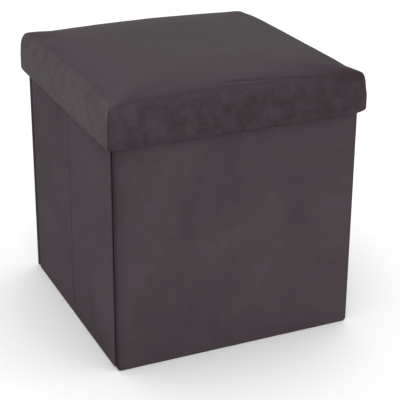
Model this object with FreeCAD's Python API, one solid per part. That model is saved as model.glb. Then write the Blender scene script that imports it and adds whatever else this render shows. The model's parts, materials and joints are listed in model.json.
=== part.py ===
"""Folding storage pouf: six hinged velvet walls, a flip-up base board and a loose padded lid.

The frame is in millimetres with +Z up. The origin is on the floor under the middle of the pouf, the front is
at -Y and the left side is at -X. Each wall is a fibreboard sheet in a velvet cover with a thin lining inside.
"""

import math
import os

import FreeCAD, Part

# --- driving dimensions ---------------------------------------------------------------------------------
LID_WIDTH = 380.0           # outer width and depth of the lid
BODY_WIDTH = 360.0          # outer width and depth of the box below it
TOTAL_HEIGHT = 400.0        # floor to the highest point of the padded lid
LID_BOTTOM = 328.0          # height of the lower edge of the lid's skirt
LID_EDGE_TOP = 384.0        # height where the crowned top meets the rounded edge of the lid
LID_LINING_BOTTOM = 364.2   # underside of the lid's lining, just above the walls

VELVET = 1.2                # velvet cover with its backing
WALL_BOARD = 4.0            # fibreboard inside each wall
LINING = 0.8                # non-woven lining
WALL = VELVET + WALL_BOARD + LINING
LID_BOARD = 5.0             # fibreboard in the lid

CORNER_GAP = 5.0            # fabric hinge between two walls at a corner
CREASE_GAP = 0.5            # fabric between the two halves of a side wall
HEM_HEIGHT = 4.4            # sewn closing hem that each wall stands on
WALL_TOP = LID_LINING_BOTTOM - 0.3
BOTTOM_CORNER_RADIUS = 8.0  # rounding of a wall's lower corners
LID_CORNER_RADIUS = 14.0    # upright corners of the lid
LID_HEM = 5.0               # rolled hem of the lid's cover, below the skirt boards
LID_EDGE_RADIUS = 12.0      # rounded edge between the lid's sides and its top

BASE_BOARD = 2.2
BASE_SKIN = 0.4             # lining glued to each face of the base board
BASE_CLEARANCE = 2.5        # from the base to the side and front walls
BASE_BACK_CLEARANCE = 1.6   # from the base to the back wall
TAB_WIDTH = 30.0            # ribbon that lifts the base
TAB_LENGTH = 46.0
TAB_THICKNESS = 0.8
TAB_INSET = 6.0             # from the base's front edge to the tab

# --- sizes worked out from them -------------------------------------------------------------------------
OUTER = BODY_WIDTH / 2
INNER = OUTER - WALL
SIDE_END = INNER - CORNER_GAP
HALF_START = CREASE_GAP / 2
LID_OUTER = LID_WIDTH / 2
LID_CORE = LID_OUTER - VELVET
LID_BOARD_INNER = LID_CORE - LID_BOARD
LID_CLEAR = LID_BOARD_INNER - LINING
LID_TOP_BOARD_BOTTOM = LID_LINING_BOTTOM + LINING
LID_FOAM_BOTTOM = LID_TOP_BOARD_BOTTOM + LID_BOARD
BASE_TOP = BASE_BOARD + 2 * BASE_SKIN
BASE_BACK = INNER - BASE_BACK_CLEARANCE
BASE_HALF_WIDTH = INNER - BASE_CLEARANCE
BASE_FRONT = -(INNER - BASE_CLEARANCE)
CUT_MARGIN = 1.0            # cutting blocks reach this far past what they cut


def export(shape, name):
    """Writes one sub-part to its STEP file and reports its volume."""
    shape.exportStep(f"parts/{name}.step")
    print(f"{name:32s} {shape.Volume / 1000:9.2f} cm3  solids {len(shape.Solids)}  valid {shape.isValid()}")


def block(x0, x1, y0, y1, z0, z1):
    """A box between two corners."""
    return Part.makeBox(x1 - x0, y1 - y0, z1 - z0, FreeCAD.Vector(x0, y0, z0))


def rounded_prism(half_width, radius, z0, z1):
    """A square post centred on the Z axis whose four upright edges are rounded."""
    post = block(-half_width, half_width, -half_width, half_width, z0, z1)
    upright = [edge for edge in post.Edges if abs(edge.Vertexes[0].Z - edge.Vertexes[1].Z) > 1.0]
    return post.makeFillet(radius, upright)


# --- walls ----------------------------------------------------------------------------------------------
def wall_form(start, end, rounded_ends, inset, y0, y1):
    """A wall's outline from start to end, set in all round by inset and y0 to y1 thick, with its lower corner
    rounded at each end named in rounded_ends."""
    form = block(start + inset, end - inset, y0, y1, inset, WALL_TOP - inset)
    lower_corners = []
    for edge in form.Edges:
        first, last = (vertex.Point for vertex in edge.Vertexes)
        crosses_wall = abs(first.y - last.y) > 1e-6
        at_rounded_end = any(abs(first.x - corner) < inset + 1e-6 for corner in rounded_ends)
        if crosses_wall and at_rounded_end and first.z < inset + 1e-6:
            lower_corners.append(edge)
    return form.makeFillet(BOTTOM_CORNER_RADIUS - inset, lower_corners)


def make_wall(start, end, rounded_ends):
    """The four pieces of a wall that runs along X from start to end, with its inner face at y = 0 and its
    outer face at y = WALL."""

    def slice_below(height):
        return block(
            start - CUT_MARGIN, end + CUT_MARGIN, -CUT_MARGIN, WALL + CUT_MARGIN, -CUT_MARGIN, height
        )

    below = slice_below(HEM_HEIGHT)
    below_board = slice_below(HEM_HEIGHT + VELVET)
    board = wall_form(start, end, rounded_ends, VELVET, LINING, LINING + WALL_BOARD).cut(below_board)
    cover = wall_form(start, end, rounded_ends, 0.0, LINING, WALL).cut(below).cut(board)
    lining = wall_form(start, end, rounded_ends, 0.0, 0.0, LINING).cut(below)
    hem = wall_form(start, end, rounded_ends, 0.0, 0.0, WALL).common(below)
    return {"board": board, "cover": cover, "lining": lining, "hem": hem}


def place(shape, turn_deg, offset):
    """Turns a shape about the Z axis, then moves it outwards by offset along its own turned Y axis."""
    placed = shape.copy()
    placed.translate(FreeCAD.Vector(0, offset, 0))
    placed.rotate(FreeCAD.Vector(0, 0, 0), FreeCAD.Vector(0, 0, 1), turn_deg)
    return placed


def make_walls():
    """Front and back walls are whole; each side wall is a front and a rear half."""
    whole = (-OUTER, OUTER)
    walls = [
        ("back", whole, whole, 0),
        ("front", whole, whole, 180),
        ("left_rear", (HALF_START, SIDE_END), (SIDE_END,), 90),
        ("left_front", (-SIDE_END, -HALF_START), (-SIDE_END,), 90),
        ("right_rear", (-SIDE_END, -HALF_START), (-SIDE_END,), -90),
        ("right_front", (HALF_START, SIDE_END), (SIDE_END,), -90),
    ]
    for name, (start, end), rounded_ends, turn in walls:
        for layer, shape in make_wall(start, end, rounded_ends).items():
            export(place(shape, turn, INNER), f"{name}_{layer}")


def make_hinge_fabric():
    """Strips of velvet that join neighbouring walls: four recessed corner strips and two creases."""
    for side_name, side in (("left", -1), ("right", 1)):
        x0, x1 = sorted((side * INNER, side * (INNER + LINING)))
        crease_x0, crease_x1 = sorted((side * (OUTER - VELVET), side * OUTER))
        for end_name, end in (("rear", 1), ("front", -1)):
            y0, y1 = sorted((end * SIDE_END, end * INNER))
            corner = block(x0, x1, y0, y1, HEM_HEIGHT, WALL_TOP)
            export(corner, f"{side_name}_{end_name}_corner_fabric")
        crease = block(crease_x0, crease_x1, -HALF_START, HALF_START, HEM_HEIGHT, WALL_TOP)
        export(crease, f"{side_name}_crease_fabric")


# --- lid ------------------------------------------------------------------------------------------------
def crowned_profile(inset, z0):
    """Half-round-edged, crowned outline of the lid as a face in the XZ plane."""
    half = LID_OUTER - inset
    radius = LID_EDGE_RADIUS - inset
    edge_top = LID_EDGE_TOP - inset
    crown = TOTAL_HEIGHT - inset
    slant = radius * math.sqrt(0.5)
    shoulder = half - radius

    def point(x, z):
        return FreeCAD.Vector(x, 0, z)

    edges = [
        Part.LineSegment(point(-half, z0), point(-half, edge_top - radius)),
        Part.Arc(
            point(-half, edge_top - radius),
            point(-shoulder - slant, edge_top - radius + slant),
            point(-shoulder, edge_top),
        ),
        Part.Arc(point(-shoulder, edge_top), point(0, crown), point(shoulder, edge_top)),
        Part.Arc(
            point(shoulder, edge_top),
            point(shoulder + slant, edge_top - radius + slant),
            point(half, edge_top - radius),
        ),
        Part.LineSegment(point(half, edge_top - radius), point(half, z0)),
        Part.LineSegment(point(half, z0), point(-half, z0)),
    ]
    return Part.Face(Part.Wire([edge.toShape() for edge in edges]))


def lid_form(inset, z0):
    """The lid's outer form, set in by inset: a rounded square post topped by a crown in both directions."""
    along_y = crowned_profile(inset, z0).extrude(FreeCAD.Vector(0, 2 * LID_WIDTH, 0))
    along_y.translate(FreeCAD.Vector(0, -LID_WIDTH, 0))
    along_x = along_y.copy()
    along_x.rotate(FreeCAD.Vector(0, 0, 0), FreeCAD.Vector(0, 0, 1), 90)
    post = rounded_prism(LID_OUTER - inset, LID_CORNER_RADIUS - inset, z0, TOTAL_HEIGHT + CUT_MARGIN)
    return post.common(along_y).common(along_x)


def make_lid():
    """Lid: a board with a skirt of four boards under it, a foam pad on top, a velvet cover and a lining."""
    core_radius = LID_CORNER_RADIUS - VELVET
    skirt_bottom = LID_BOTTOM + LID_HEM
    below_lid = LID_BOTTOM - CUT_MARGIN

    core = lid_form(VELVET, skirt_bottom)
    hollow = block(
        -LID_BOARD_INNER, LID_BOARD_INNER, -LID_BOARD_INNER, LID_BOARD_INNER, below_lid, skirt_bottom
    )
    cover = lid_form(0.0, LID_BOTTOM).cut(core).cut(hollow)
    export(cover, "lid_cover")

    foam = core.common(block(-LID_OUTER, LID_OUTER, -LID_OUTER, LID_OUTER, LID_FOAM_BOTTOM, TOTAL_HEIGHT))
    export(foam, "lid_foam_pad")
    export(rounded_prism(LID_CORE, core_radius, LID_TOP_BOARD_BOTTOM, LID_FOAM_BOTTOM), "lid_top_board")

    post = rounded_prism(LID_CORE, core_radius, skirt_bottom, LID_TOP_BOARD_BOTTOM)
    for name, turn in (("back", 0), ("left", 90), ("front", 180), ("right", 270)):
        length = LID_CORE if name in ("back", "front") else LID_BOARD_INNER
        strip = block(-length, length, LID_BOARD_INNER, LID_CORE, skirt_bottom, LID_TOP_BOARD_BOTTOM)
        export(place(strip, turn, 0).common(post), f"lid_{name}_skirt_board")

    tray = block(
        -LID_BOARD_INNER, LID_BOARD_INNER, -LID_BOARD_INNER, LID_BOARD_INNER, LID_BOTTOM, LID_TOP_BOARD_BOTTOM
    )
    recess = block(-LID_CLEAR, LID_CLEAR, -LID_CLEAR, LID_CLEAR, below_lid, LID_LINING_BOTTOM)
    export(tray.cut(recess), "lid_lining")


# --- base -----------------------------------------------------------------------------------------------
def make_base():
    """Base: a lined board that lies between the walls and lifts about its back edge by a ribbon tab."""

    def sheet(z0, z1):
        return block(-BASE_HALF_WIDTH, BASE_HALF_WIDTH, BASE_FRONT, BASE_BACK, z0, z1)

    export(sheet(0.0, BASE_SKIN), "base_bottom_lining")
    export(sheet(BASE_SKIN, BASE_SKIN + BASE_BOARD), "base_board")
    export(sheet(BASE_SKIN + BASE_BOARD, BASE_TOP), "base_top_lining")

    tab_front = BASE_FRONT + TAB_INSET
    tab = block(
        -TAB_WIDTH / 2, TAB_WIDTH / 2, tab_front, tab_front + TAB_LENGTH, BASE_TOP, BASE_TOP + TAB_THICKNESS
    )
    export(tab, "base_pull_tab")

    hinge = block(-BASE_HALF_WIDTH, BASE_HALF_WIDTH, BASE_BACK, INNER, BASE_TOP - BASE_SKIN, BASE_TOP)
    export(hinge, "base_hinge_fabric")


os.makedirs("parts", exist_ok=True)
make_walls()
make_hinge_fabric()
make_lid()
make_base()
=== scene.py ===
"""Looks of a folding storage ottoman, in metres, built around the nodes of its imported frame."""

from collections import namedtuple
import json
import math

import bmesh
import bpy
import numpy as np
from mathutils import Matrix, Vector, noise


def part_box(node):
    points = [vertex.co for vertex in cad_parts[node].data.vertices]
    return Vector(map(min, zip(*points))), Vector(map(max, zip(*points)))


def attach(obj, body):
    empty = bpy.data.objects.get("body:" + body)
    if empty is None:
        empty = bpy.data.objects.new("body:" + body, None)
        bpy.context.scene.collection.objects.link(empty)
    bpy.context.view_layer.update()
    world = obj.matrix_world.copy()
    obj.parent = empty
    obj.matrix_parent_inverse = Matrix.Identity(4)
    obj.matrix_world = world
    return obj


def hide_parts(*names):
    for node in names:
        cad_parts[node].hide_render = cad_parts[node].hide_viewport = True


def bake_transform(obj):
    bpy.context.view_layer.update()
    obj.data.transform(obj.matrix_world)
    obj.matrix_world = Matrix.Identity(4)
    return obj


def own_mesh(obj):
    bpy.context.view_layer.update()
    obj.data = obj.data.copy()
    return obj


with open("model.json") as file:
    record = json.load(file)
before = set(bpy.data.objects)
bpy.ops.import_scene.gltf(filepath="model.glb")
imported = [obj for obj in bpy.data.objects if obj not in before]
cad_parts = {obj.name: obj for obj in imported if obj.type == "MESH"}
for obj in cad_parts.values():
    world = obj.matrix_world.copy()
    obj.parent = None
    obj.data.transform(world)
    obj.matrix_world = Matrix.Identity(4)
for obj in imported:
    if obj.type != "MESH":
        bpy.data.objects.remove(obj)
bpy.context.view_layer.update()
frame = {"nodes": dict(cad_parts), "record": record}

MM = 0.001
WALL_NAMES = ("front", "back", "left_rear", "left_front", "right_rear", "right_front")
TURNS = {"back": 0, "left": 90, "front": 180, "right": -90}  # each side's turn from the back, in degrees

# --- sizes of the walls' fabric ---
COVER_EDGE = 2.0 * MM  # rounding of a wall cover's edges
COVER_WAVE = 0.30 * MM  # unevenness of the velvet over its board
FRONT_CORNER = 6.0 * MM  # rounding of the lower corners at the front
REAR_CORNER = 2.5 * MM  # rounding of the lower corners at the back
CREASE_CORNER = 1.5 * MM  # rounding of the lower corners at the creases
TOP_CORNER = 2.5 * MM  # rounding of the upper corners
GROOVE_TRIM = 0.8 * MM  # a side wall's velvet stops short of the corner groove
GROOVE_SHADE = 0.92  # how strong the painted shade deep in the upright grooves is,
GROOVE_FADE = 0.32  # how much less it is at the floor,
FADE_HEIGHT = 70.0 * MM  # and the height from which it fades
HEM_SQUASH = 0.3 * MM  # a folded wall's velvet crumples to this far above its hem's height
LINING_EDGE = 0.3 * MM
LINING_INSET = 1.0 * MM  # the lining stops this far inside the velvet
GRID_STEP = 9.0 * MM  # spacing of a panel's mesh lines
STITCH_LENGTH = 3.2 * MM
STITCH_PITCH = 4.4 * MM
STITCH_RADIUS = 0.28 * MM
STITCH_SIDES = 6
STITCH_MARGIN = 5.0 * MM  # from a lining's edge to its stitches
STITCH_LIFT = 0.05 * MM


# --- small tools ---
def smoothstep(x):
    """0 below 0, 1 above 1, and a smooth rise between."""
    t = np.clip(x, 0, 1)
    return t * t * (3 - 2 * t)


def bell(distance, reach):
    """1 at distance 0, falling smoothly to almost 0 at twice the reach."""
    return np.exp(-((distance / reach) ** 2))


def soft_noise(points, size, seed):
    """Smooth noise from -1 to 1 whose bumps are about size across."""
    shift = Vector((7.3 * seed, 3.1 * seed, 5.7 * seed))
    return np.array([noise.noise(Vector(p) / size + shift) for p in points])


def add_mesh(name, points, faces):
    """A new smooth mesh object."""
    mesh = bpy.data.meshes.new(name)
    mesh.from_pydata([tuple(p) for p in points], [], [tuple(f) for f in faces])
    mesh.validate()
    mesh.update()
    mesh.shade_smooth()
    piece = bpy.data.objects.new(name, mesh)
    bpy.context.scene.collection.objects.link(piece)
    return piece


def add_closed_mesh(name, points, faces):
    """A new closed mesh object, with all its faces turned outwards."""
    piece = add_mesh(name, points, faces)
    work = bmesh.new()
    work.from_mesh(piece.data)
    bmesh.ops.recalc_face_normals(work, faces=work.faces)
    work.to_mesh(piece.data)
    work.free()
    return piece


def read_points(piece):
    return np.array([v.co for v in piece.data.vertices], float)


def write_points(piece, points):
    piece.data.vertices.foreach_set("co", points.astype(np.float32).ravel())
    piece.data.update()


def dress(piece, material):
    """Gives a piece its material."""
    piece.data.materials.append(material)


def mark_painted_shade(piece, values):
    """Stores the painted shade at each point, from 0 to 1."""
    layer = piece.data.attributes.new("groove", "FLOAT", "POINT")
    layer.data.foreach_set("value", np.asarray(values, dtype=np.float32))


def apply_modifiers(piece):
    """Replaces a piece's mesh by the mesh that its modifiers make."""
    graph = bpy.context.evaluated_depsgraph_get()
    graph.update()
    made = bpy.data.meshes.new_from_object(piece.evaluated_get(graph))
    made.shade_smooth()
    piece.modifiers.clear()
    piece.data = made


def thicken(piece, thickness):
    """Gives an open shell a thickness, inwards from its surface."""
    piece.modifiers.new("thickness", "SOLIDIFY").thickness = thickness
    apply_modifiers(piece)


# --- node materials ---
WELD_PITCH = 1.9 * MM  # spacing of the welded points of the non-woven lining
RIB_PITCH = 1.1 * MM  # spacing of the ribbon's ribs


class Nodes:
    """A short way to write a node material."""

    def __init__(self, name):
        self.material = bpy.data.materials.new(name)
        self.material.use_nodes = True
        self.tree = self.material.node_tree
        self.shader = self.tree.nodes["Principled BSDF"]
        coordinates = self.add("TexCoord")
        self.place = coordinates.outputs["Object"]
        self.facing = coordinates.outputs["Normal"]

    def add(self, kind):
        return self.tree.nodes.new(f"ShaderNode{kind}")

    def link(self, source, target):
        self.tree.links.new(source, target)

    def noise(self, scale, detail=2.0, roughness=0.5, distortion=0.0, stretch=(1.0, 1.0, 1.0)):
        mapping = self.add("Mapping")
        mapping.inputs["Scale"].default_value = stretch
        self.link(self.place, mapping.inputs["Vector"])
        node = self.add("TexNoise")
        self.link(mapping.outputs["Vector"], node.inputs["Vector"])
        values = {"Scale": scale, "Detail": detail, "Roughness": roughness, "Distortion": distortion}
        for name, value in values.items():
            node.inputs[name].default_value = value
        return node.outputs["Fac"]

    def ramp(self, factor, stops):
        node = self.add("ValToRGB")
        elements = node.color_ramp.elements
        while len(elements) < len(stops):
            elements.new(0.5)
        for element, (position, colour) in zip(elements, stops):
            element.position = position
            element.color = (*colour, 1.0)
        self.link(factor, node.inputs["Fac"])
        return node.outputs["Color"]

    def dot(self, vector, direction):
        """The share of a vector along a fixed direction."""
        node = self.add("VectorMath")
        node.operation = "DOT_PRODUCT"
        self.link(vector, node.inputs[0])
        node.inputs[1].default_value = direction
        return node.outputs["Value"]

    def scale(self, colour, factor):
        """A colour times a number."""
        node = self.add("VectorMath")
        node.operation = "SCALE"
        self.link(colour, node.inputs[0])
        self.link(factor, node.inputs["Scale"])
        return node.outputs["Vector"]

    def feed(self, socket, value):
        """Gives a socket a number, a colour or another node's output."""
        if isinstance(value, (int, float)):
            socket.default_value = value
        elif isinstance(value, tuple):
            socket.default_value = (*value, 1.0)
        else:
            self.link(value, socket)

    def math(self, operation, *values, clamp=False):
        node = self.add("Math")
        node.operation = operation
        node.use_clamp = clamp
        for socket, value in zip(node.inputs, values):
            self.feed(socket, value)
        return node.outputs["Value"]

    def line(self, value, slope, start, clamp=False):
        """A value times a slope plus a start, from 0 to 1 if clamped."""
        return self.math("MULTIPLY_ADD", value, slope, start, clamp=clamp)

    def times(self, a, b):
        return self.math("MULTIPLY", a, b)

    def between(self, value, low, high):
        return self.math("MAXIMUM", self.math("MINIMUM", value, high), low)

    def mix(self, blend, factor, a, b):
        node = self.add("Mix")
        node.data_type = "RGBA"
        node.blend_type = blend
        # Of a Mix node's sockets, inputs 6 and 7 and output 2 are its colours.
        for index, value in ((0, factor), (6, a), (7, b)):
            self.feed(node.inputs[index], value)
        return node.outputs[2]

    def tint(self, factor, colour, by):
        """A colour, multiplied by another where factor is 1."""
        return self.mix("MIX", factor, colour, self.mix("MULTIPLY", 1.0, colour, by))

    def bump(self, layers):
        """Adds (height, strength, distance) layers of relief to the shader's normal."""
        last = None
        for height, strength, distance in layers:
            node = self.add("Bump")
            node.inputs["Strength"].default_value = strength
            node.inputs["Distance"].default_value = distance
            self.link(height, node.inputs["Height"])
            if last:
                self.link(last, node.inputs["Normal"])
            last = node.outputs["Normal"]
        self.link(last, self.shader.inputs["Normal"])

    def colour(self, value):
        self.link(value, self.shader.inputs["Base Color"])

    def set(self, **values):
        names = {"sheen": "Sheen Weight", "specular": "Specular IOR Level"}
        for name, value in values.items():
            self.shader.inputs[names.get(name, name.title().replace("_", " "))].default_value = value


def shade(colour, factor):
    return tuple(factor * part for part in colour)


def paint_rim_shade(nodes, base, strength, upright, upward, darkening):
    """Paints shade where a padded top starts to curve down, and on the top itself, darker towards the
    back, and paints a warm shade where it turns towards the front and the left. Returns the new colour
    and strength."""
    # painted shade along the rim, where the padded top starts to curve down
    starting = nodes.line(upright, -34.0, 33.6, clamp=True)
    gentle = nodes.line(upright, 5.0, -4.0, clamp=True)
    rim = nodes.times(starting, gentle)
    strength = nodes.times(strength, nodes.line(rim, -darkening, 1.0))
    # painted shade on the top: darker towards the back, paler towards the front
    towards_back = nodes.dot(nodes.place, (0.0, 1.0, 0.0))
    top_shade = nodes.times(nodes.math("ADD", towards_back, 0.03), upward)
    strength = nodes.times(strength, nodes.line(top_shade, -0.5, 1.0))
    # painted warm shade on faces turned to the front and the left
    to_front = nodes.dot(nodes.facing, (0.0, -5.0, 0.0))
    to_left = nodes.times(nodes.dot(nodes.facing, (-5.0, 0.0, 0.0)), gentle)
    warm_shade = nodes.times(nodes.between(nodes.math("MAXIMUM", to_front, to_left), 0.0, 1.0), 0.8)
    return nodes.tint(warm_shade, base, (1.05, 0.955, 0.99)), strength


def velvet(name, dark, light, mottle, side_shade, sheen=0.0, calm_top=0.0, calm_left=0.0, rim_shade=0.0):
    """Short-pile velvet: brushed patches, mottling, single tufts and a pale sheen at grazing angles.
    calm_top and calm_left even out the mottling where the fabric faces up and left. side_shade is painted
    light and shade by side:
    how much paler the left and back sides are painted, and how much darker the front and right ones.
    rim_shade is painted shade for a padded top. A mesh's groove attribute holds painted shade in grooves,
    seams, creases and along edges."""
    nodes = Nodes(name)
    brushed = nodes.noise(9.0, 3.0, 0.55, 0.8)
    patches = nodes.noise(52.0, 6.0, 0.64, 0.15, (1.15, 1.15, 0.95))
    tufts = nodes.noise(1500.0, 2.0, 0.6)
    upright = nodes.dot(nodes.facing, (0.0, 0.0, 1.0))
    upward = nodes.line(upright, 2.0, -1.0, clamp=True)
    leftward = nodes.line(nodes.dot(nodes.facing, (-1.0, 0.0, 0.0)), 2.0, -1.0, clamp=True)

    tone = nodes.math("ADD", nodes.times(brushed, 1.0 - mottle), nodes.times(patches, mottle))
    calm = nodes.times(nodes.line(upward, -calm_top, 1.0), nodes.line(leftward, -calm_left, 1.0))
    deviation = nodes.times(nodes.math("SUBTRACT", tone, 0.5), calm)
    base = nodes.ramp(nodes.math("ADD", deviation, 0.5), [(0.36, dark), (0.64, light)])
    pile = nodes.ramp(tufts, [(0.25, (0.80, 0.80, 0.80)), (0.75, (1.18, 1.17, 1.18))])
    base = nodes.mix("MULTIPLY", 1.0, base, pile)

    # painted light and shade by side: faces turned left and back are painted paler, faces turned front
    # and right darker
    lit_side = nodes.between(nodes.dot(nodes.facing, (-1.8, 1.8, 0.0)), -0.6, 1.0)
    strength = nodes.line(lit_side, side_shade, 1.0)
    if rim_shade:
        base, strength = paint_rim_shade(nodes, base, strength, upright, upward, rim_shade)

    # painted shade: where the groove attribute is high, the colour is darkened and tinted redder
    groove = nodes.add("Attribute")
    groove.attribute_name = "groove"
    base = nodes.tint(groove.outputs["Fac"], base, (1.12, 0.94, 1.04))
    shade_multiplier = nodes.line(groove.outputs["Fac"], -0.76, 1.0)
    nodes.colour(nodes.scale(base, nodes.times(strength, shade_multiplier)))
    nodes.bump([(patches, 0.20, 1.0 * MM), (tufts, 0.35, 0.25 * MM)])
    nodes.set(roughness=0.95, specular=0.05)
    nodes.set(sheen=sheen, sheen_roughness=0.40, sheen_tint=(0.62, 0.56, 0.60, 1.0))
    return nodes.material


def nonwoven(name, colour):
    """Spun-bonded lining: random fibres, pressed together at a lattice of welded points."""
    nodes = Nodes(name)
    wave = math.tau / WELD_PITCH
    rising = nodes.math("SINE", nodes.dot(nodes.place, (wave, wave, wave)))
    falling = nodes.math("SINE", nodes.dot(nodes.place, (wave, -wave, -wave)))
    welds = nodes.times(rising, falling)
    fibres = nodes.noise(700.0, 4.0, 0.7, 1.5)
    base = nodes.ramp(fibres, [(0.3, shade(colour, 0.7)), (0.7, shade(colour, 1.5))])
    pressed = nodes.ramp(welds, [(0.1, (1.0, 1.0, 1.0)), (0.8, (0.55, 0.55, 0.55))])
    nodes.colour(nodes.mix("MULTIPLY", 0.35, base, pressed))
    nodes.bump([(welds, 0.3, 0.15 * MM), (fibres, 0.5, 0.12 * MM)])
    nodes.set(roughness=0.78, specular=0.3, sheen=0.15)
    return nodes.material


def ribbon_weave(name, colour):
    """Grosgrain ribbon: fine ribs across its length."""
    nodes = Nodes(name)
    ribs = nodes.math("SINE", nodes.dot(nodes.place, (0.0, math.tau / RIB_PITCH, 0.0)))
    fuzz = nodes.noise(900.0, 3.0)
    nodes.colour(nodes.ramp(fuzz, [(0.3, shade(colour, 0.75)), (0.7, shade(colour, 1.4))]))
    nodes.bump([(ribs, 0.5, 0.2 * MM), (fuzz, 0.3, 0.1 * MM)])
    nodes.set(roughness=0.55, specular=0.4, sheen=0.2)
    return nodes.material


def fibreboard(name):
    """Raw fibreboard: pressed wood fibres with darker flecks."""
    nodes = Nodes(name)
    fibres = nodes.noise(260.0, 5.0, 0.65, 0.4, (1.0, 1.0, 3.0))
    base = nodes.ramp(fibres, [(0.3, (0.28, 0.18, 0.10)), (0.7, (0.42, 0.29, 0.17))])
    flecks = nodes.ramp(nodes.noise(900.0, 2.0), [(0.35, (0.5, 0.45, 0.4)), (0.5, (1.0, 1.0, 1.0))])
    nodes.colour(nodes.mix("MULTIPLY", 0.4, base, flecks))
    nodes.bump([(fibres, 0.3, 0.2 * MM)])
    nodes.set(roughness=0.85)
    return nodes.material


def open_foam(name):
    """Cream upholstery foam with small open cells."""
    nodes = Nodes(name)
    cells = nodes.noise(1100.0, 3.0, 0.7)
    nodes.colour(nodes.ramp(cells, [(0.3, (0.50, 0.43, 0.28)), (0.6, (0.78, 0.71, 0.54))]))
    nodes.bump([(cells, 0.6, 0.4 * MM)])
    nodes.set(roughness=0.95)
    return nodes.material


WALL_VELVET = velvet(
    "wall_velvet", dark=(0.0535, 0.0424, 0.0479), light=(0.0682, 0.0527, 0.0606), mottle=0.35,
    side_shade=-0.025)
LID_VELVET = velvet(
    "lid_velvet", dark=(0.0400, 0.0332, 0.0369), light=(0.0665, 0.0566, 0.0623), mottle=0.70,
    side_shade=0.20, sheen=0.08, calm_top=0.90, calm_left=0.40, rim_shade=0.16)
BLACK_LINING = nonwoven("black_lining", (0.016, 0.015, 0.016))
BLACK_THREAD = ribbon_weave("black_thread", (0.03, 0.028, 0.03))
BLACK_RIBBON = ribbon_weave("black_ribbon", (0.022, 0.020, 0.022))
BOARD = fibreboard("raw_fibreboard")
FOAM = open_foam("cream_foam")


# --- panels ---
def grid_lines(start, end, edge, corner, step):
    """Places of grid lines from start to end: close together over the rounded edge, then even."""
    rounds = [edge * (1 - math.cos(k * math.pi / 10)) for k in range(5)] + [edge]
    margin = max(corner, edge) * 1.02
    between = [edge + (margin - edge) * k / 4 for k in range(1, 5)] if margin > edge * 1.1 else []
    offsets = rounds + between
    middle_start, middle_end = start + offsets[-1], end - offsets[-1]
    count = max(2, round((middle_end - middle_start) / step))
    middle = [middle_start + (middle_end - middle_start) * k / count for k in range(1, count)]
    return np.array([start + d for d in offsets] + middle + [end - d for d in reversed(offsets)])


def grid_faces(rows, columns):
    """The faces of a grid of points, and the points round its rim in order."""
    index = np.arange(rows * columns).reshape(rows, columns)
    corners_of = [index[:-1, :-1], index[1:, :-1], index[1:, 1:], index[:-1, 1:]]
    quads = np.stack([c.ravel() for c in corners_of], axis=1)
    rim = np.concatenate([index[:-1, 0], index[-1, :-1], index[:0:-1, -1], index[0, :0:-1]])
    return quads, rim


def round_corner(u, v, u_edge, v_edge, radius):
    """Moves grid points near a corner onto circles about its centre. u_edge and v_edge are the two sides
    that meet there; each is a (place, direction inwards) pair."""
    (u0, u_in), (v0, v_in) = u_edge, v_edge
    a = radius - (u - u0) * u_in
    b = radius - (v - v0) * v_in
    inside = (a > 0) & (b > 0)
    big = np.maximum(np.maximum(a, b), 1e-12)
    small = np.minimum(a, b)
    angle = math.pi / 4 * np.clip(small / big, 0, 1)
    long, short = big * np.cos(angle), big * np.sin(angle)
    u = np.where(inside, u0 + (radius - np.where(a >= b, long, short)) * u_in, u)
    v = np.where(inside, v0 + (radius - np.where(a >= b, short, long)) * v_in, v)
    return u, v


def edge_drop(distance, edge):
    """How far a quarter-round edge lies below its flat face, by the distance from the outline."""
    reach = np.clip(edge - distance, 0, edge)
    return edge - np.sqrt(np.maximum(edge * edge - reach * reach, 0))


def panel_mesh(size_u, size_v, thickness, edge, corners, step, wave, seed):
    """A soft-edged closed slab in local axes. size_u, size_v and thickness are its (low, high) places.
    corners has the radii at (low u, low v), (high u, low v), (low u, high v) and (high u, high v)."""
    widest = max(corners)
    lines_u = grid_lines(*size_u, edge, widest, step)
    lines_v = grid_lines(*size_v, edge, widest, step)
    u, v = np.meshgrid(lines_u, lines_v, indexing="ij")
    distance = np.minimum.reduce([u - size_u[0], size_u[1] - u, v - size_v[0], size_v[1] - v])
    ends_u = ((size_u[0], 1), (size_u[1], -1))
    ends_v = ((size_v[0], 1), (size_v[1], -1))
    for index, radius in enumerate(corners):
        u, v = round_corner(u, v, ends_u[index % 2], ends_v[index // 2], radius)
    drop = edge_drop(distance, edge)
    fade = smoothstep((distance - edge) / (12 * MM)).ravel()
    flat = np.stack([u.ravel(), v.ravel(), np.zeros(u.size)], axis=1)
    ripple = wave * fade * (soft_noise(flat, 0.07, seed) + 0.5 * soft_noise(flat, 0.028, seed + 1) + 0.7)
    front = np.stack([u.ravel(), v.ravel(), (thickness[1] - drop).ravel() + ripple], axis=1)
    back = np.stack([u.ravel(), v.ravel(), (thickness[0] + drop).ravel()], axis=1)
    quads, rim = grid_faces(*u.shape)
    beside = np.roll(rim, -1)
    band = np.stack([rim, rim + u.size, beside + u.size, beside], axis=1)
    return np.concatenate([front, back]), np.concatenate([quads, quads[:, ::-1] + u.size, band])


def stand_wall(points, turn_deg, offset):
    """Stands a panel's (u, v, thickness) points up: u runs along the wall, v is up, and the thickness
    points outwards from the inner face, which lies offset from the middle."""
    upright = np.stack([points[:, 0], offset + points[:, 2], points[:, 1]], axis=1)
    turn = np.array(Matrix.Rotation(math.radians(turn_deg), 3, "Z"))
    return upright @ turn.T


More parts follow.
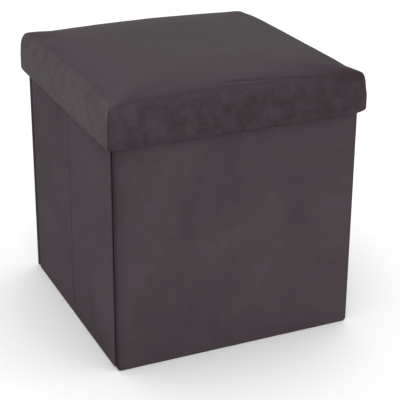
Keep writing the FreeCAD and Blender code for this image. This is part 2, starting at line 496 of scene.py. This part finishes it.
def stitch_row(name, start, end, normal, body):
    """A straight row of thread stitches, each a short bar that dips at its ends."""
    start, end, normal = Vector(start), Vector(end), Vector(normal)
    along = (end - start).normalized()
    side = normal.cross(along)
    count = max(1, int((end - start).length / STITCH_PITCH))
    # Each ring's place along its stitch, as a share of the stitch's length, and its lift in radii.
    rings = ((-0.5, -1.2), (-0.35, 0.2), (0.0, 0.6), (0.35, 0.2), (0.5, -1.2))
    points, faces = [], []
    for k in range(count):
        middle = start + along * STITCH_PITCH * (k + 0.5)
        first = len(points)
        last = first + STITCH_SIDES * (len(rings) - 1)
        for share, lift in rings:
            centre = middle + along * (share * STITCH_LENGTH) + normal * (lift * STITCH_RADIUS)
            for corner in range(STITCH_SIDES):
                angle = math.tau * corner / STITCH_SIDES
                around = side * math.cos(angle) + normal * math.sin(angle)
                points.append(centre + around * STITCH_RADIUS)
        for ring in range(first, last, STITCH_SIDES):
            for corner in range(STITCH_SIDES):
                a, b = ring + corner, ring + (corner + 1) % STITCH_SIDES
                faces.append((a, b, b + STITCH_SIDES, a + STITCH_SIDES))
        faces.append(range(first + STITCH_SIDES - 1, first - 1, -1))
        faces.append(range(last, last + STITCH_SIDES))
    row = add_mesh(name, points, faces)
    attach(row, body)
    dress(row, BLACK_THREAD)


def border(ends_u, ends_v, height):
    """The corners of a rectangle, in order round it."""
    (left, right), (low, high) = ends_u, ends_v
    return np.array([(u, v, height) for u, v in ((left, low), (right, low), (right, high), (left, high))])


def stitch_border(name, corners, normal, body):
    """Four stitch rows round a rectangle."""
    for index in range(4):
        stitch_row(f"{name}_{index + 1}", corners[index], corners[(index + 1) % 4], normal, body)


# --- walls ---
WallFrame = namedtuple("WallFrame", "turn inner thickness lining start end top hem")


def wall_frame(name):
    """Where a wall stands: its turn, the place of its inner face, its own and its lining's thickness, its
    ends along its length, its height and its hem's height."""
    cover_low, cover_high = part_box(f"{name}_cover")
    lining_low, lining_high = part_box(f"{name}_lining")
    turn = TURNS[name.split("_")[0]]
    across, along = (1, 0) if turn in (0, 180) else (0, 1)
    inner = min(abs(lining_low[across]), abs(lining_high[across]))
    outer = max(abs(cover_low[across]), abs(cover_high[across]))
    start, end = cover_low[along], cover_high[along]
    if turn in (180, -90):
        start, end = -end, -start
    lining = lining_high[across] - lining_low[across]
    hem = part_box(f"{name}_hem")[1].z
    return WallFrame(turn, inner, outer - inner, lining, start, end, cover_high.z, hem)


def groove_shade(height):
    """How strong the painted shade in an upright groove is at a height: less near the floor."""
    return GROOVE_SHADE - GROOVE_FADE * smoothstep((FADE_HEIGHT - height) / FADE_HEIGHT)


def painted_wall_shade(name, points, start, end, thickness):
    """Painted shade on a wall at each point: most behind its ends, in the grooves, and on the front wall
    also along its upright edges, above all the left one."""
    from_start = np.maximum(points[:, 0] - start, 0)
    from_end = np.maximum(end - points[:, 0], 0)
    from_ends = np.minimum(from_start, from_end)
    behind = smoothstep((thickness - 0.5 * MM - points[:, 2]) / (1.5 * MM))
    in_groove = smoothstep((1.4 * MM - from_ends) / (1.2 * MM)) * behind * groove_shade(points[:, 1])
    # painted shade along the front wall's upright edges, broadest at the left
    if name == "front":
        left = 0.55 * np.exp(-from_end / (4.2 * MM)) + 0.13 * np.exp(-from_end / (45 * MM))
        right = 0.15 * np.exp(-from_start / (3.4 * MM))
        return np.maximum(0.75 * in_groove, left + right)
    if name == "back":
        return 0.1 * in_groove
    if name.endswith("rear"):
        outer = from_start if abs(start) > abs(end) else from_end
        return in_groove * np.where(outer < 10 * MM, 0.15, 1.0)
    return in_groove


def build_wall_velvet(name, wall, start, end, seed):
    """The velvet cover of one wall, with rounded edges and its hem."""
    whole = name in ("front", "back")
    outer_corner = FRONT_CORNER if name.endswith("front") else REAR_CORNER
    corner_start = outer_corner if whole or abs(start) > abs(end) else CREASE_CORNER
    corner_end = outer_corner if whole or abs(end) > abs(start) else CREASE_CORNER
    points, faces = panel_mesh(
        (start, end), (0.0, wall.top), (0.4 * wall.lining, wall.thickness), COVER_EDGE,
        (corner_start, corner_end, TOP_CORNER, TOP_CORNER), GRID_STEP, COVER_WAVE, seed)
    cover = add_closed_mesh(f"{name}_velvet", stand_wall(points, wall.turn, wall.inner), faces)
    mark_painted_shade(cover, painted_wall_shade(name, points, start, end, wall.thickness))
    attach(cover, name)
    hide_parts(f"{name}_cover", f"{name}_hem")
    dress(cover, WALL_VELVET)
    if name != "back":
        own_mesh(cover)


def build_wall_lining(name, wall, start, end, seed):
    """The lining of one wall, with its stitched border."""
    points, faces = panel_mesh(
        (start, end), (wall.hem, wall.top - LINING_INSET), (0.1 * MM, wall.lining + 0.1 * MM),
        LINING_EDGE, (TOP_CORNER,) * 4, 2 * GRID_STEP, 0.0, seed)
    lining = add_closed_mesh(f"{name}_nonwoven", stand_wall(points, wall.turn, wall.inner), faces)
    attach(lining, name)
    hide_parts(f"{name}_lining")
    dress(lining, BLACK_LINING)

    ends_u = (start + STITCH_MARGIN, end - STITCH_MARGIN)
    ends_v = (wall.hem + STITCH_MARGIN, wall.top - STITCH_MARGIN)
    corners = stand_wall(border(ends_u, ends_v, STITCH_LIFT), wall.turn, wall.inner)
    normal = stand_wall(np.array([[0, 0, -1.0]]), wall.turn, 0.0)[0]
    stitch_border(f"{name}_lining_stitch", corners, normal, name)


def build_wall(name, seed):
    """Velvet cover and lining of one wall."""
    wall = wall_frame(name)
    start, end, inset = wall.start, wall.end, wall.thickness
    if name not in ("front", "back"):
        reach = max(abs(start), abs(end)) - GROOVE_TRIM
        start, end, inset = max(start, -reach), min(end, reach), LINING_INSET
    build_wall_velvet(name, wall, start, end, seed)
    build_wall_lining(name, wall, start + inset, end - inset, seed)


for wall_index, wall_name in enumerate(WALL_NAMES):
    build_wall(wall_name, 3 + 2 * wall_index)


# --- fabric hinges ---
HINGE_DEPTH = 1.2 * MM  # from its CAD strip's inner face out to the corner velvet
HINGE_TUCK = 1.6 * MM  # it reaches this far under each wall's velvet
HINGE_SAG = 1.1 * MM
HINGE_THICKNESS = 0.7 * MM
CREASE_DEPTH = 1.9 * MM  # from its CAD strip's outer face in to the crease velvet
CREASE_REACH = 2.2 * MM
CREASE_SAG = 0.7 * MM
CREASE_THICKNESS = 0.6 * MM
STRIP_TOP = 1.0 * MM  # the strips stop this far below the walls' upper edge
STRIP_LEVELS = 24
ROUTE_POINTS = 9


def strip_mesh(route, low, high, thickness, levels):
    """A thin closed strip. route is its cross-section in plan, as (x, y) points, run from low to high."""
    route = np.array(route)
    tangent = np.gradient(route, axis=0)
    normal = np.stack([-tangent[:, 1], tangent[:, 0]], axis=1)
    normal /= np.linalg.norm(normal, axis=1)[:, None]
    loop = np.concatenate([route + normal * thickness / 2, (route - normal * thickness / 2)[::-1]])
    points = [(x, y, z) for z in np.linspace(low, high, levels) for x, y in loop]
    size = len(loop)
    faces = []
    for level in range(levels - 1):
        for k in range(size):
            a, b = level * size + k, level * size + (k + 1) % size
            faces.append((a, b, b + size, a + size))
    for first in (0, (levels - 1) * size):
        for k in range(len(route) - 1):
            faces.append((first + k, first + k + 1, first + size - 2 - k, first + size - 1 - k))
    return points, faces


def sag_route(start, end, dip, direction):
    """A shallow arc in plan from start to end that sags by dip towards direction."""
    start, end, direction = np.array([start, end, direction])
    share = np.linspace(0, 1, ROUTE_POINTS)[:, None]
    return start + (end - start) * share + direction * dip * np.sin(math.pi * share)


def add_strip(name, node, route, thickness, shade_at):
    """The velvet strip of a corner or crease. Its last argument gives its painted shade at a height."""
    low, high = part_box(node)
    bottom = low.z + HEM_SQUASH
    strip = add_closed_mesh(name, *strip_mesh(route, bottom, high.z - STRIP_TOP, thickness, STRIP_LEVELS))
    mark_painted_shade(strip, shade_at(read_points(strip)[:, 2]))
    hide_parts(node)
    dress(strip, WALL_VELVET)
    return strip


def build_corner_fabric(side_name, end_name, bodies):
    """The velvet at the bottom of a corner's groove. Between two bodies its transform is baked and it is
    left unattached; where no joint joins them it rides on the front wall."""
    node = f"{side_name}_{end_name}_corner_fabric"
    low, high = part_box(node)
    side = -1 if side_name == "left" else 1
    end = 1 if end_name == "rear" else -1
    # the rear strips take only a tenth of the painted groove shade
    share = 0.1 if end_name == "rear" else 1.0
    inner = min(abs(low.x), abs(high.x))
    near, far = min(abs(low.y), abs(high.y)), max(abs(low.y), abs(high.y))
    place = side * (inner + HINGE_DEPTH)
    route = sag_route(
        (place, end * (near - HINGE_TUCK)), (place, end * (far + HINGE_TUCK)), HINGE_SAG, (-side, 0))
    strip = add_strip(f"{side_name}_{end_name}_hinge_velvet", node, route, HINGE_THICKNESS,
                      lambda height: share * groove_shade(height))
    if bodies:
        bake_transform(strip)
    else:
        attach(strip, "front")


def build_crease_fabric(side_name):
    """The velvet at the bottom of the crease between a side wall's halves."""
    node = f"{side_name}_crease_fabric"
    low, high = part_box(node)
    side = -1 if side_name == "left" else 1
    place = side * (max(abs(low.x), abs(high.x)) - CREASE_DEPTH)
    route = sag_route((place, CREASE_REACH), (place, -CREASE_REACH), CREASE_SAG, (side, 0))
    # the crease strip is painted with the full groove shade
    strip = add_strip(f"{side_name}_crease_velvet", node, route, CREASE_THICKNESS, np.ones_like)
    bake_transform(strip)


build_corner_fabric("left", "rear", ("left_rear", "back"))
build_corner_fabric("right", "rear", ("right_rear", "back"))
build_corner_fabric("left", "front", ("left_front", "front"))
build_corner_fabric("right", "front", None)
build_crease_fabric("left")
build_crease_fabric("right")


# --- lid ---
LID_EDGE = 17.0 * MM  # rounding from the lid's top to its sides
LID_CROWN = 16.0 * MM  # rise of the padded top above its shoulders
CROWN_START = 0.7  # share of the crown that is there before the top swells
CROWN_POWER = 3.6  # how flat the padded top is in its middle
EDGE_BOW = 3.5 * MM  # how much higher its edges are midway than at the corners
TIGHT_REACH = 28.0 * MM  # distance from a corner over which the roll gets tighter,
DIP_REACH = 45.0 * MM  # the top is drawn down
DRAW_REACH = 32.0 * MM  # and in,
LIFT_REACH = 11.0 * MM  # and the lower edge is drawn up
LID_STEP = 6.0 * MM  # spacing of the lid's mesh lines
LID_ROLL = 2.4 * MM  # rounding of the lower edge
LID_TURN_IN = 5.8 * MM  # velvet turned in under the skirt boards
SKIRT_ROWS = 12
VELVET_THICKNESS = 1.1 * MM
CLOTH_PRESSURE = 12.0
CLOTH_FRAMES = 20
CLOTH_SHARE = 0.4  # share of the simulated swelling that the foam allows
CLOTH_LIMIT = 7.0 * MM  # furthest that the simulation may move a point
SEAM_DEPTH = 1.0 * MM  # the seam down each corner of the skirt
SEAM_WIDTH = 0.9 * MM
SEAM_REACH = 16.0 * MM  # a seam's relief stays this close to its corner
DIMPLE_DEPTH = 1.2 * MM  # the nip at the top of each seam
DIMPLE_WIDTH = 1.8 * MM
PUCKER_DEPTH = 0.25 * MM  # the ripples beside the seams
PUCKER_PITCH = 6.0 * MM
HEM_RELIEF = 0.35 * MM  # the bulge over the hem, and the dent along its stitches
LID_CREASE_DEPTH = 1.4 * MM  # the soft crease along the front of the top
LID_CREASE_WIDTH = 2.0 * MM
LID_CREASE_BACK = 25.0 * MM  # from the lid's front edge to the crease's left end
LID_CREASE_SLANT = 13.0 * MM  # how much nearer to that edge its right end is
TOP_WAVE = 0.35 * MM  # unevenness of the padded top
SKIRT_WAVE = 0.30 * MM  # unevenness of the skirt

Corner = namedtuple("Corner", "top low dip lift draw tight")

# The lid's corners by the sides that they join: (x side, y side). Each has its rounding at the top and at
# the bottom of the skirt, how far the padded top is drawn down to it, how far the lower edge is drawn up,
# how far the padded top is drawn in, and how much tighter its roll is than along the sides.
LID_CORNERS = {
    (-1, -1): Corner(4.0 * MM, 3.0 * MM, 0.0, 0.8 * MM, 0.0, 0.85),
    (1, -1): Corner(12.0 * MM, 7.0 * MM, 0.0, 3.0 * MM, 1.0 * MM, 0.75),
    (1, 1): Corner(12.0 * MM, 7.0 * MM, 0.0, 2.0 * MM, 15.0 * MM, 0.35),
    (-1, 1): Corner(8.0 * MM, 5.0 * MM, -2.5 * MM, 1.5 * MM, 1.0 * MM, 0.50),
}


def by_corner(x, y, quality):
    """A quality of the lid's corner nearest to each point."""
    values = np.zeros(np.shape(x))
    for (side_x, side_y), corner in LID_CORNERS.items():
        values = np.where((x * side_x >= 0) & (y * side_y >= 0), getattr(corner, quality), values)
    return values


def rounded_square(u, v, half, radii):
    """Rounds a square's four corners, in the order of LID_CORNERS."""
    for (side_u, side_v), radius in zip(LID_CORNERS, radii):
        u, v = round_corner(u, v, (side_u * half, -side_u), (side_v * half, -side_v), radius)
    return u, v


def dome_mesh(half, top, edge, crown, radii, levels, step):
    """An open box shape with a soft-edged top, padded if it has a crown. radii has each corner's rounding
    at the top and at the bottom. levels lists the skirt's rows from the shoulder down: a row's share of
    the way, how far it is set in, its height, and the share of the corners' lift that it takes."""
    top_radii, low_radii = radii.T
    lines = grid_lines(-half, half, edge, top_radii.max(), step)
    square_u, square_v = np.meshgrid(lines, lines, indexing="ij")
    u, v = rounded_square(square_u, square_v, half, top_radii)
    distance = half - np.maximum(np.abs(square_u), np.abs(square_v))
    height = top - edge_drop(distance, edge)
    if crown:
        least = np.minimum(np.abs(square_u), np.abs(square_v))
        tight = 1 - bell(half - least, TIGHT_REACH) * by_corner(square_u, square_v, "tight")
        drop = edge_drop(distance / tight, edge)
        rise = crown * (1 - np.abs(u / half) ** CROWN_POWER) * (1 - np.abs(v / half) ** CROWN_POWER)
        bow = EDGE_BOW * (1 - (least / half) ** 2) * (1 - 0.9 * smoothstep(square_u / half))
        height = top - drop + np.maximum(rise, 0) + bow * (1 - drop / edge)
    points = [np.stack([u.ravel(), v.ravel(), height.ravel()], axis=1)]
    quads, rim = grid_faces(*u.shape)
    faces = [quads]
    rim_u, rim_v = square_u.ravel()[rim], square_v.ravel()[rim]
    from_corner = half - np.minimum(np.abs(rim_u), np.abs(rim_v))
    last = rim
    for row, (share, inset, height, lift) in enumerate(levels):
        scale = (half - inset) / half
        tapering = smoothstep(share * 2.2)
        row_radii = top_radii + (np.maximum(low_radii - inset, 0.5 * MM) - top_radii) * tapering
        row_u, row_v = rounded_square(rim_u * scale, rim_v * scale, half - inset, row_radii)
        row_height = height + lift * by_corner(rim_u, rim_v, "lift") * bell(from_corner, LIFT_REACH)
        points.append(np.stack([row_u, row_v, row_height], axis=1))
        here = u.size + row * len(rim) + np.arange(len(rim))
        faces.append(np.stack([last, here, np.roll(here, -1), np.roll(last, -1)], axis=1))
        last = here
    return np.concatenate(points), np.concatenate(faces)


def skirt_levels(shoulder, bottom):
    """The rows of the lid's skirt: down the side, round its lower edge and in under the boards."""
    side_end = bottom + LID_ROLL
    levels = []
    for share in np.linspace(0, 1, SKIRT_ROWS + 1)[1:]:
        levels.append((share, 0.0, shoulder + (side_end - shoulder) * share, share ** 2))
    for angle in math.pi / 8 * np.arange(1, 5):
        levels.append((1.0, LID_ROLL * (1 - math.cos(angle)), side_end - LID_ROLL * math.sin(angle), 1.0))
    for inset in np.linspace(LID_ROLL, LID_TURN_IN, 4)[1:]:
        levels.append((1.0, inset, bottom, 1.0))
    return levels


def swell(piece, free):
    """Runs a short cloth simulation under pressure. Points move where free is 1, not where it is 0."""
    group = piece.vertex_groups.new(name="held")
    for index, value in enumerate(free):
        group.add([index], float(1 - value), "REPLACE")
    rest = read_points(piece)
    modifier = piece.modifiers.new("cloth", "CLOTH")
    settings = modifier.settings
    settings.quality = 6
    settings.mass = 0.4
    settings.bending_stiffness = 10.0
    settings.use_pressure = True
    settings.uniform_pressure_force = CLOTH_PRESSURE
    settings.vertex_group_mass = "held"
    settings.effector_weights.gravity = 0.0
    modifier.collision_settings.use_collision = False
    modifier.point_cache.frame_end = CLOTH_FRAMES
    scene = bpy.context.scene
    for number in range(1, CLOTH_FRAMES + 1):
        scene.frame_set(number)
    swollen = read_points(piece.evaluated_get(bpy.context.evaluated_depsgraph_get()))
    moved = CLOTH_SHARE * (swollen - rest)
    piece.modifiers.clear()
    piece.vertex_groups.clear()
    scene.frame_set(1)
    length = np.linalg.norm(moved, axis=1)
    scale = np.where(length > CLOTH_LIMIT, CLOTH_LIMIT / np.maximum(length, 1e-9), 1.0)
    write_points(piece, rest + moved * scale[:, None])


def settle_padding(points, half, top, shoulder):
    """Brings the swollen top to its full height, then draws it down and in at the lid's corners."""
    x, y, z = points.T
    above = np.maximum(z - top, 0)
    z[:] = np.minimum(z, top) + above * LID_CROWN / above.max()
    to_corner = np.hypot(half - np.abs(x), half - np.abs(y))
    high_up = smoothstep((z - shoulder + 8 * MM) / (16 * MM))
    z -= by_corner(x, y, "dip") * bell(to_corner, DIP_REACH) * high_up
    above_board = smoothstep((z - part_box("lid_top_board")[1].z - 2 * MM) / (12 * MM))
    draw = by_corner(x, y, "draw") * bell(to_corner, DRAW_REACH) * above_board / math.sqrt(2)
    x -= np.sign(x) * draw
    y -= np.sign(y) * draw


def away_from_middle(points):
    """The level direction from the lid's middle to each point."""
    out = points * np.array([1.0, 1.0, 0.0])
    return out / np.maximum(np.linalg.norm(out, axis=1), 1e-9)[:, None]


def sew_skirt(points, half, top, bottom):
    """Presses the corner seams, with their nips and puckers, and the hem into the skirt. Returns the
    painted shade along the seams, strongest at their nips."""
    x, y, z = points.T
    from_diagonal = np.abs(np.abs(x) - np.abs(y)) / math.sqrt(2)
    from_corner = half - np.minimum(np.abs(x), np.abs(y))
    near_corner = from_corner < SEAM_REACH
    below_dimple = smoothstep((top - 0.5 * MM - z) / (4 * MM))
    dimple = bell(z - top + 4 * MM, 2.5 * MM)
    line = bell(from_diagonal, SEAM_WIDTH) * near_corner * below_dimple
    seam = SEAM_DEPTH * line + DIMPLE_DEPTH * bell(from_diagonal, DIMPLE_WIDTH) * near_corner * dimple
    pucker = PUCKER_DEPTH * np.cos(math.tau * from_corner / PUCKER_PITCH)
    pucker *= np.exp(-from_corner / (9 * MM)) * smoothstep((top - 4 * MM - z) / (8 * MM))
    above_edge = z - bottom
    hem = HEM_RELIEF * (bell(above_edge - 3.2 * MM, 1.8 * MM) - bell(above_edge - 6.6 * MM, 1.2 * MM))
    hem *= np.maximum(np.abs(x), np.abs(y)) > half - 3 * MM
    hem *= smoothstep((from_corner - 6 * MM) / (10 * MM))
    # painted shade along the seams
    mark = (0.5 + 0.5 * dimple) * line
    points += away_from_middle(points) * (hem - seam - pucker)[:, None]
    return mark


def front_crease(points, half):
    """The crease along the front of the padded top, which fades in its middle. Returns its depth and the
    painted shade along it."""
    x, y = points[:, 0], points[:, 1]
    line = -half + LID_CREASE_BACK - np.clip((x + 20 * MM) / (160 * MM), 0, 1) * LID_CREASE_SLANT
    ends = smoothstep((x + 30 * MM) / (40 * MM)) * smoothstep((150 * MM - x) / (40 * MM))
    ends *= 1 - 0.75 * bell(x - 55 * MM, 14 * MM)
    depth = LID_CREASE_DEPTH * bell(y - line, LID_CREASE_WIDTH) * ends
    return depth, 0.45 * bell(y - line, 1.3 * MM) * ends


def front_painted_shade(points, half, bottom, on_top):
    """Painted shade along the skirt's lower edge at the front, and round the front right corner of the
    top."""
    x, y, z = points.T
    on_front = smoothstep((-y - half + 8 * MM) / (4 * MM))
    lower_edge = 0.40 * smoothstep((bottom + 2.4 * MM - z) / (2.0 * MM))
    lower_edge += 0.07 * smoothstep((bottom + 16 * MM - z) / (14 * MM))
    # painted shade round the front right corner, strongest on the top
    from_shaded_corner = np.hypot((half - x) / (60 * MM), (half + y) / (120 * MM))
    return np.maximum(lower_edge * on_front, bell(from_shaded_corner, 1.0) * (0.08 + 0.40 * on_top))


def build_lid_cover():
    """The padded velvet top with its skirt, corner seams and a soft crease along the front edge."""
    low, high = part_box("lid_cover")
    half, bottom = high.x, low.z
    top = high.z - LID_CROWN
    shoulder = top - LID_EDGE
    radii = np.array([(corner.top, corner.low) for corner in LID_CORNERS.values()])
    points, faces = dome_mesh(
        half, top, LID_EDGE, CROWN_START * LID_CROWN, radii, skirt_levels(shoulder, bottom), LID_STEP)
    lid = add_mesh("lid_velvet", points, faces)
    swell(lid, smoothstep((points[:, 2] - shoulder) / (0.6 * LID_EDGE)))
    points = read_points(lid)
    settle_padding(points, half, top, shoulder)
    write_points(lid, points)
    lid.modifiers.new("finer", "SUBSURF").levels = 1
    apply_modifiers(lid)

    points = read_points(lid)
    seam_shade = sew_skirt(points, half, top, bottom)
    z = points[:, 2]
    on_top = smoothstep((z - shoulder - 6 * MM) / (6 * MM))
    on_skirt = smoothstep((top - 4 * MM - z) / (8 * MM)) * (z > bottom + 4 * MM)
    crease, crease_shade = front_crease(points, half)
    unevenness = soft_noise(points, 75 * MM, 41) + 0.6 * soft_noise(points, 30 * MM, 43)
    z += (TOP_WAVE * unevenness - crease) * on_top
    points += away_from_middle(points) * (SKIRT_WAVE * unevenness * on_skirt)[:, None]
    write_points(lid, points)
    # painted shade: seams, crease, the front of the skirt's lower edge and the top's front right corner
    edge_shade = front_painted_shade(points, half, bottom, on_top)
    mark_painted_shade(lid, np.maximum.reduce([seam_shade, crease_shade * on_top, edge_shade]))
    thicken(lid, VELVET_THICKNESS)
    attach(lid, "lid")
    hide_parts("lid_cover", "lid_foam_pad")
    dress(lid, LID_VELVET)


# --- linings of the lid and base ---
LID_LINING_GAP = 0.15 * MM  # clearance between the lid's lining and its skirt boards
LID_LINING_DROP = 0.1 * MM  # clearance below its top board
LID_LINING_STOP = 0.6 * MM  # from its CAD sheet's lower edge up to its own
LID_LINING_THICKNESS = 0.55 * MM
LID_STITCH_RISE = 4.0 * MM
LID_STITCH_END = 6.0 * MM
BASE_WRAP = 0.35 * MM  # the base linings reach this far past their CAD sheets
BASE_FOLD = 1.5 * MM  # height of their folded edges
BASE_CORNER = 2.5 * MM
BASE_STITCH_MARGIN = 7.0 * MM
RIBBON_THICKNESS = 0.35 * MM
RIBBON_TURN = 0.45 * MM  # radius of the ribbon's fold
RIBBON_STEP_BACK = 2.0 * MM  # its upper layer ends this far before the lower one
FLAP_REACH = 20.0 * MM  # length of the hinge flap on the base
FLAP_RISE = 22.0 * MM  # its height on the back wall
FLAP_THICKNESS = 0.22 * MM
FLAP_GAP = 0.25 * MM  # clearance under and behind it
FLAP_END = 4.0 * MM  # it is this much shorter than its CAD strip at each end


def lining_tray(name, half, top, bottom, edge, corner, thickness):
    """A thin square tray, upside down."""
    shoulder = top - edge
    shares = np.linspace(0, 1, 7)[1:]
    levels = [(share, 0.0, shoulder + (bottom - shoulder) * share, 0.0) for share in shares]
    radii = np.full((4, 2), corner)
    tray = add_mesh(name, *dome_mesh(half, top, edge, 0.0, radii, levels, 3 * LID_STEP))
    thicken(tray, thickness)
    return tray


def build_lid_lining():
    """The black lining inside the lid, stitched round its border."""
    low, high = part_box("lid_lining")
    half = high.x - LID_LINING_GAP
    top = high.z - LID_LINING_DROP
    bottom = low.z + LID_LINING_STOP
    lining = lining_tray("lid_nonwoven", half, top, bottom, 2.5 * MM, 3.0 * MM, LID_LINING_THICKNESS)
    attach(lining, "lid")
    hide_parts("lid_lining")
    dress(lining, BLACK_LINING)
    row = bottom + LID_STITCH_RISE
    reach = half - LID_STITCH_END
    inner = half - LID_LINING_THICKNESS
    for name, turn in TURNS.items():
        ends = stand_wall(np.array([[-reach, row, 0.0], [reach, row, 0.0]]), turn, inner)
        normal = stand_wall(np.array([[0, 0, -1.0]]), turn, 0.0)[0]
        stitch_row(f"lid_lining_stitch_{name}", *ends, normal, "lid")


def build_base_linings():
    """The linings over and under the base board, stitched round their border."""
    low, bottom_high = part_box("base_bottom_lining")
    top_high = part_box("base_top_lining")[1]
    left, right = low.x - BASE_WRAP, top_high.x + BASE_WRAP
    front, back = low.y - BASE_WRAP, top_high.y + BASE_WRAP
    width, depth = right - left, back - front
    thickness = 0.9 * (bottom_high.z - low.z)
    upper = lining_tray("base_top_nonwoven", width / 2, top_high.z, top_high.z - BASE_FOLD, 0.8 * MM,
                        BASE_CORNER, thickness)
    points = read_points(upper)
    points[:, 1] = points[:, 1] * depth / width + (front + back) / 2
    write_points(upper, points)
    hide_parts("base_top_lining")
    lower = add_closed_mesh("base_bottom_nonwoven", *panel_mesh(
        (left, right), (front, back), (low.z, low.z + BASE_FOLD), 0.6 * MM, (BASE_CORNER,) * 4,
        2 * GRID_STEP, 0.0, 61))
    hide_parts("base_bottom_lining")
    for lining in (upper, lower):
        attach(lining, "base")
        dress(lining, BLACK_LINING)

    ends_x = (left + BASE_STITCH_MARGIN, right - BASE_STITCH_MARGIN)
    ends_y = (front + BASE_STITCH_MARGIN, back - BASE_STITCH_MARGIN)
    stitch_border("base_stitch", border(ends_x, ends_y, top_high.z), (0, 0, 1), "base")


def add_cross_strip(name, route, left, right, thickness, levels):
    """A strip that lies across the base: its route is in y and z, and it runs from left to right."""
    points, faces = strip_mesh(route, left, right, thickness, levels)
    return add_closed_mesh(name, np.roll(points, 1, axis=1), faces)


def build_base_ribbon():
    """The ribbon tab at the front of the base, folded double."""
    low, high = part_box("base_pull_tab")
    floor = low.z + RIBBON_THICKNESS / 2
    fold = high.y - RIBBON_TURN
    route = [(y, floor) for y in np.linspace(low.y, fold, 14)]
    for angle in math.pi / 8 * np.arange(1, 8):
        route.append((fold + RIBBON_TURN * math.sin(angle), floor + RIBBON_TURN * (1 - math.cos(angle))))
    route += [(y, floor + 2 * RIBBON_TURN) for y in np.linspace(fold, low.y + RIBBON_STEP_BACK, 14)]
    ribbon = add_cross_strip("base_ribbon", route, low.x, high.x, RIBBON_THICKNESS, 4)
    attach(ribbon, "base")
    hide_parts("base_pull_tab")
    dress(ribbon, BLACK_RIBBON)


def build_base_flap():
    """The strip of lining that hinges the base to the back wall."""
    low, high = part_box("base_hinge_fabric")
    pivot, wall = low.y, high.y
    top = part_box("base_top_lining")[1].z
    route = [(y, top + FLAP_GAP) for y in np.linspace(pivot - FLAP_REACH, pivot - 1 * MM, 8)]
    route += [(pivot + 0.2 * MM, top + 0.5 * MM), (wall - 0.6 * MM, top + 1.2 * MM)]
    route += [(wall - FLAP_GAP, z) for z in np.linspace(top + 2.2 * MM, top + FLAP_RISE, 8)]
    flap = add_cross_strip(
        "base_hinge_flap", route, low.x + FLAP_END, high.x - FLAP_END, FLAP_THICKNESS, 40)
    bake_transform(flap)
    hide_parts("base_hinge_fabric")
    dress(flap, BLACK_LINING)


build_lid_cover()
build_lid_lining()
build_base_linings()
build_base_ribbon()
build_base_flap()

FINISHES = {"fibreboard": BOARD, "foam": FOAM, "lining": BLACK_LINING, "ribbon": BLACK_RIBBON,
            "velvet": WALL_VELVET}
for subpart in frame["record"]["subparts"]:
    materials = frame["nodes"][subpart["node"]].data.materials
    materials.clear()
    materials.append(FINISHES[subpart["material_slot"]])


# --- stage, light and camera ---
FLOOR_HALF = 6.0
FLOOR_DROP = 0.2 * MM  # the floor lies just below the hems
WORLD_STRENGTH = 1.06
LIGHT_TARGET = (0.0, 0.0, 0.2)
CAMERA_PLACE = (-0.6890, -1.5578, 0.9006)
CAMERA_YAW = 23.60
CAMERA_DOWN = 22.53
CAMERA_LENS = 111.6
CAMERA_SHIFT = (0.05, -0.0625)


def area_light(name, place, size, power):
    """A soft square light that points at the object."""
    data = bpy.data.lights.new(name, "AREA")
    data.size = size
    data.energy = power
    light = bpy.data.objects.new(name, data)
    light.location = place
    light.rotation_euler = (Vector(LIGHT_TARGET) - Vector(place)).to_track_quat("-Z", "Y").to_euler()
    bpy.context.scene.collection.objects.link(light)


def build_stage():
    """A plain pale floor under a white sky, with two soft lights."""
    ends = (-FLOOR_HALF, FLOOR_HALF)
    floor = add_mesh("floor", border(ends, ends, 0.0), [(0, 1, 2, 3)])
    paint = Nodes("pale_floor")
    paint.set(base_color=(0.95, 0.95, 0.95, 1.0), roughness=0.8)
    floor.data.materials.append(paint.material)
    floor.location.z = -FLOOR_DROP

    world = bpy.data.worlds.new("studio")
    world.use_nodes = True
    background = world.node_tree.nodes["Background"]
    background.inputs["Color"].default_value = (1.0, 1.0, 1.0, 1.0)
    background.inputs["Strength"].default_value = WORLD_STRENGTH
    bpy.context.scene.world = world
    area_light("key", (-0.9, -2.4, 2.4), 2.0, 14.0)
    area_light("top", (0.2, 0.6, 3.0), 2.4, 12.0)


def build_camera():
    """A long lens at the front left, looking down at the ottoman."""
    data = bpy.data.cameras.new("camera")
    data.lens = CAMERA_LENS
    data.shift_x, data.shift_y = CAMERA_SHIFT
    camera = bpy.data.objects.new("camera", data)
    camera.location = CAMERA_PLACE
    camera.rotation_euler = (math.radians(90.0 - CAMERA_DOWN), 0.0, math.radians(-CAMERA_YAW))
    bpy.context.scene.collection.objects.link(camera)
    bpy.context.scene.camera = camera
    bpy.context.scene.view_settings.view_transform = "Standard"


build_stage()
build_camera()
